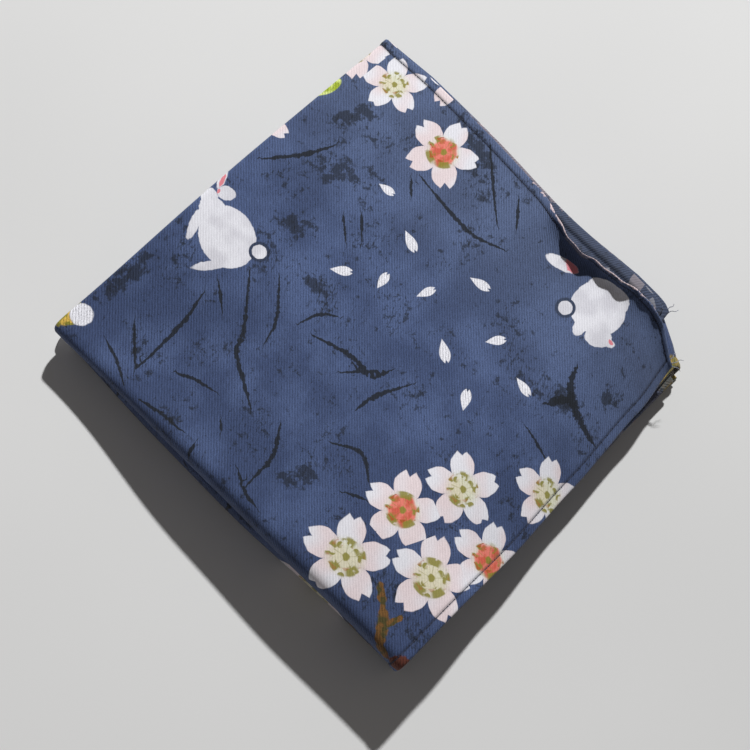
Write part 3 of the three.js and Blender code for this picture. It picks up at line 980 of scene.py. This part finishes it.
def paint_ground(finish, place):
    """Dyed navy with faint clouds, charcoal blotches, flecks and rough brush marks."""
    clouds = finish.noise(place, 0.05, 3.0, 0.55)
    x, y, _ = finish.parts(place)
    # Random paler clouds in the dye, and a slow gradient, paler towards the far corner and towards the open
    # corner
    paler_tone = clouds.step(0.30, 0.72) + (y - x) * 0.003 + (x + y) * 0.0025
    colour = finish.mix(NAVY, NAVY_LIGHT, paler_tone.at_least(0).at_most(1.3))
    # Painted sheen: the navy greyer and paler towards the open side of the top panel
    colour = finish.mix(colour, NAVY_PAINTED_SHEEN, y.step(0, 62.5) * 0.28)
    zone = union(1 - finish.length(finish.within(place, form)) for form in BLOTCHES).at_least(0)
    dabs = finish.noise(place, 0.34, 4.0, 0.72)
    patches = finish.noise(place, 0.07, 1.0)
    blotch = (dabs + zone * 0.34 + (patches - 0.5) * 0.30).step(0.59, 0.72)
    colour = finish.mix(colour, CHARCOAL, blotch * 0.72)
    bent = finish.local(place, 0, 0, 118, 2.2, 0.7)
    flecks = finish.noise(bent, 1.0, 3.0, 0.7)
    flecked = (flecks + (patches - 0.5) * 0.45 + zone * 0.1).step(0.66, 0.74)
    colour = finish.mix(colour, CHARCOAL, flecked * 0.6)
    rough = finish.noise(place, 1.1, 2.0, 0.6)
    across = abs(finish.field("brush_across"))
    knots = finish.noise(place, 0.45, 0.0)
    width = across - (knots - 0.45).at_least(0) * 2.2 + (rough - 0.5) * 2.6
    mark = (1 - width.step(0.82, 1.35)) * (1 - finish.field("brush_beyond").step(1.2, 2.0))
    return finish.mix(colour, CHARCOAL, mark * 0.92)


def paint_worn_corner(finish, colour):
    """The gold and grey ends of the lower layers, seen at the hem side of the open corner."""
    where = finish.vector_maths("MULTIPLY", {0: finish.object_place(), 1: (1 / MM, 1 / MM, 0)})
    lower = finish.field("lower_layer")
    wobble = finish.noise(where, 0.5, 1.0, dimensions="3D") - 0.5
    gold = finish.patch(where, GOLD_ENDS, wobble * 0.5, 0.8, 1.05)
    grey = finish.patch(where, GREY_ENDS, wobble * 0.5, 0.8, 1.05)
    colour = finish.mix(colour, WORN_GREY, grey * lower * 0.85)
    ends = finish.mix(WORN_GOLD, WORN_OLIVE, wobble.step(-0.1, 0.1))
    return finish.mix(colour, ends, gold * lower * 0.9)


def cotton_finish(name, reverse):
    """Printed cotton twill; its reverse shows the print paler."""
    finish = Finish(name)
    place, cloth_place = print_place(finish)
    colour = paint_ground(finish, place)
    colour = paint_small_forms(finish, place, colour)
    colour, fur_shape = paint_rabbits(finish, place, colour)
    colour, petals = paint_blossoms(finish, place, colour)
    printed = petals.at_least(fur_shape)
    colour = paint_worn_corner(finish, colour)
    if reverse:
        colour = finish.mix(colour, REVERSE_PALE, 0.75)

    x, y, _ = finish.parts(cloth_place)
    drift = finish.noise(cloth_place, 0.35, 1.0)
    wales = ((x + y) * (2 * math.pi / WALE_PITCH / math.sqrt(2)) + drift * 1.6).sine()
    yarns = finish.noise(cloth_place, 3.1, 2.0, 0.7)
    stretched = finish.local(cloth_place, 0, 0, 45, 0.28, 1.8)
    threads = finish.noise(stretched, 1.0, 1.0)
    # Darkening along the stitches: painted shade of the groove and hem step, with the stitching's darker dye
    seam_dye_and_shade = finish.field("seam_shade") * (0.35 + 0.35 * threads)
    grain = wales * GRAIN_OF_WALES + (yarns - 0.5) * GRAIN_OF_YARNS + (threads - 0.5) * GRAIN_OF_THREADS
    tone = (1 + grain * (1 - printed * 0.7)) * (1 - seam_dye_and_shade)
    colour = finish.vector_maths("SCALE", {0: colour, "Scale": tone})
    relief = (wales * 0.5 + (yarns - 0.5) * 0.9 + (threads - 0.5) * 0.8) * (1 - printed * 0.55)
    sockets = {"Strength": 0.55, "Distance": RELIEF_DEPTH, "Height": relief}
    normal = finish.value(0, "ShaderNodeBump", None, sockets)
    roughness = 0.84 + (yarns - 0.5) * 0.16 - printed * 0.04
    finish.surface(COTTON, {"Base Color": colour, "Roughness": roughness, "Normal": normal})
    return finish.material


def thread_finish(name, dark, light):
    finish = Finish(name)
    where = finish.object_place()
    twist = finish.noise(where, 2600, 1.0, dimensions="3D")
    colour = finish.mix(dark, light, twist.step(0.35, 0.65))
    finish.surface({"Specular IOR Level": 0.3}, {"Base Color": colour, "Roughness": 0.62 + twist * 0.25})
    return finish.material


def floor_finish():
    finish = Finish("pale_floor")
    where = finish.object_place()
    shade = finish.noise(where, 3.0, 3.0, dimensions="3D")
    colour = finish.mix(FLOOR_GREY, FLOOR_PALE, shade.step(0.3, 0.7))
    finish.surface({"Specular IOR Level": 0.2}, {"Base Color": colour, "Roughness": 0.8 + shade * 0.1})
    return finish.material


# Pieces


def add_piece(name, mesh, materials):
    piece = add_object(name, mesh)
    for material in materials:
        mesh.materials.append(material)
    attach(piece, "root")
    return piece


def tube(points, radii, sides):
    """Corners and faces of a closed round tube along a list of points."""
    points = [Vector(point) for point in points]
    corners = []
    faces = []
    for number, point in enumerate(points):
        ahead = points[min(number + 1, len(points) - 1)] - points[max(number - 1, 0)]
        ahead.normalize()
        side = ahead.cross(Vector((0.13, 0.21, 1))).normalized()
        up = side.cross(ahead)
        for corner in range(sides):
            angle = 2 * math.pi * corner / sides
            corners.append(point + radii[number] * (side * math.cos(angle) + up * math.sin(angle)))
    for number in range(len(points) - 1):
        for corner in range(sides):
            here = number * sides + corner
            beside = number * sides + (corner + 1) % sides
            faces.append((here, here + sides, beside + sides, beside))
    faces.append(tuple(range(sides)))
    faces.append(tuple(range(len(corners) - 1, len(corners) - 1 - sides, -1)))
    return corners, faces


def add_tubes(name, lines, sides, material):
    """A piece of many tubes; each line is a list of points and a list of radii in millimetres."""
    corners = []
    faces = []
    for points, radii in lines:
        own_corners, own_faces = tube(points, radii, sides)
        first = len(corners)
        corners += [corner * MM for corner in own_corners]
        faces += [tuple(first + index for index in face) for face in own_faces]
    mesh = bpy.data.meshes.new(name)
    mesh.from_pydata(corners, [], faces, shade_flat=False)
    return add_piece(name, mesh, [material])


STITCH_LENGTH = 2.3
STITCH_GAP = 0.35
STITCH_RADIUS = 0.19
STITCH_HEIGHTS = [(0, -0.10), (0.15, 0.07), (0.5, 0.12), (0.85, 0.07), (1, -0.10)]
STITCH_SIZES = (0.7, 1, 1.05, 1, 0.7)
STITCH_SIDES = 4
YARN_SIDES = 6
YARN_RADII = (0.13, 0.07)


def stitch_lines(cloth):
    """Running stitches along the four hems, each one a short thread that dips in at both ends."""
    full_x = cloth.layers["length"][-1]
    full_y = cloth.stacks["length"][-1]
    pitch = STITCH_LENGTH + STITCH_GAP
    rows = [
        (full_y, lambda along: (STITCH_LINE, along)),
        (full_y, lambda along: (full_x - STITCH_LINE, along)),
        (full_x, lambda along: (along, STITCH_LINE)),
        (full_x, lambda along: (along, full_y - STITCH_LINE)),
    ]
    lines = []
    for full, place in rows:
        for number in range(int((full - 2 * STITCH_LINE) / pitch)):
            start = STITCH_LINE + number * pitch
            points = []
            for share, height in STITCH_HEIGHTS:
                point, outward = cloth.at(*place(start + share * STITCH_LENGTH))
                point = point + outward * height
                point[2] = max(point[2], STITCH_RADIUS)
                points.append(point)
            lines.append((points, [STITCH_RADIUS * size for size in STITCH_SIZES]))
    return lines


# Frayed ends at the open corners: where each leaves the cloth, and its points from there, in millimetres.
# A distance below zero is measured from the cloth's other hem.
FRAYED_ENDS = table("from_hem from_open_end points", [
    (1.0, 0.2, [(0.8, 1.2, 0.3), (1.0, 2.4, 0.2), (1.9, 3.3, -0.2)]),
    (0.3, 0.5, [(0.9, 0.4, 0.1), (1.9, 1.1, -0.3), (2.7, 1.0, -0.8)]),
    (2.2, 0.1, [(0.3, 0.8, 0.2), (-0.2, 1.7, 0.3), (0.2, 2.3, 0.0)]),
    (-0.3, 0.3, [(0.3, 0.9, 0.5), (1.2, 1.5, 1.0), (1.5, 2.5, 0.8)]),
    (-0.9, 0.1, [(-0.2, 0.8, 0.4), (0.3, 1.5, 0.9), (0.0, 2.2, 1.2)]),
])


def frayed_lines(cloth):
    lines = []
    for end in FRAYED_ENDS:
        root, _ = cloth.at(end["from_hem"] % cloth.layers["length"][-1], end["from_open_end"])
        points = [root + np.array(point) for point in soft_line([(0, 0, 0), *end["points"]], steps=4)]
        lines.append((points, np.linspace(*YARN_RADII, len(points)).tolist()))
    return lines


def build_object():
    cloth = FoldedCloth()
    front = cotton_finish("printed_cotton_twill", reverse=False)
    back = cotton_finish("printed_cotton_reverse", reverse=True)
    piece = add_piece("furoshiki_folded", build_cloth_mesh(cloth), [front, back])
    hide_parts("furoshiki_cloth")
    thread = thread_finish("hem_thread_navy", *HEM_THREAD)
    stitches = add_tubes("hem_stitches", stitch_lines(cloth), STITCH_SIDES, thread)
    yarn = thread_finish("loose_cotton_yarn", *LOOSE_YARN)
    frayed = add_tubes("frayed_yarn_ends", frayed_lines(cloth), YARN_SIDES, yarn)


# Floor and light

FLOOR_SIDE = 10.0
FLOOR_BELOW = 0.0001
KEY_FROM = (-0.48, 0.77, 1.0)
KEY_DISTANCE = 1.5
KEY_SIZE = 0.06
KEY_POWER = 25.4
KEY_COLOUR = (1.0, 0.99, 0.985)
FILL_FROM = (0.3, -0.5, 0.9)
FILL_DISTANCE = 1.6
FILL_SIZE = 1.6
FILL_POWER = 0.5
FILL_COLOUR = (0.93, 0.96, 1.0)
WORLD_COLOUR = (1.0, 0.925, 0.89, 1)
WORLD_STRENGTH = 0.110


def add_floor():
    half = FLOOR_SIDE / 2
    mesh = bpy.data.meshes.new("floor")
    corners = [(-half, -half, 0), (half, -half, 0), (half, half, 0), (-half, half, 0)]
    mesh.from_pydata(corners, [], [(0, 1, 2, 3)])
    floor = add_object("floor", mesh)
    floor.location.z = -FLOOR_BELOW
    mesh.materials.append(floor_finish())


def add_light(name, direction, distance, size, power, colour):
    data = bpy.data.lights.new(name, "AREA")
    data.shape = "DISK"
    data.size = size
    data.energy = power
    data.color = colour
    light = add_object(name, data)
    towards = Vector(direction).normalized()
    light.location = towards * distance
    light.rotation_euler = towards.to_track_quat("Z", "Y").to_euler()


def add_lights():
    add_light("key", KEY_FROM, KEY_DISTANCE, KEY_SIZE, KEY_POWER, KEY_COLOUR)
    add_light("fill", FILL_FROM, FILL_DISTANCE, FILL_SIZE, FILL_POWER, FILL_COLOUR)
    world = bpy.data.worlds.new("studio")
    world.use_nodes = True
    background = world.node_tree.nodes["Background"]
    background.inputs[0].default_value = WORLD_COLOUR
    background.inputs[1].default_value = WORLD_STRENGTH
    bpy.context.scene.world = world


# A plain camera response, as in the photograph
bpy.context.scene.view_settings.view_transform = "Standard"
place_camera()
build_object()
add_floor()
add_lights()

bpy.context.view_layer.update()
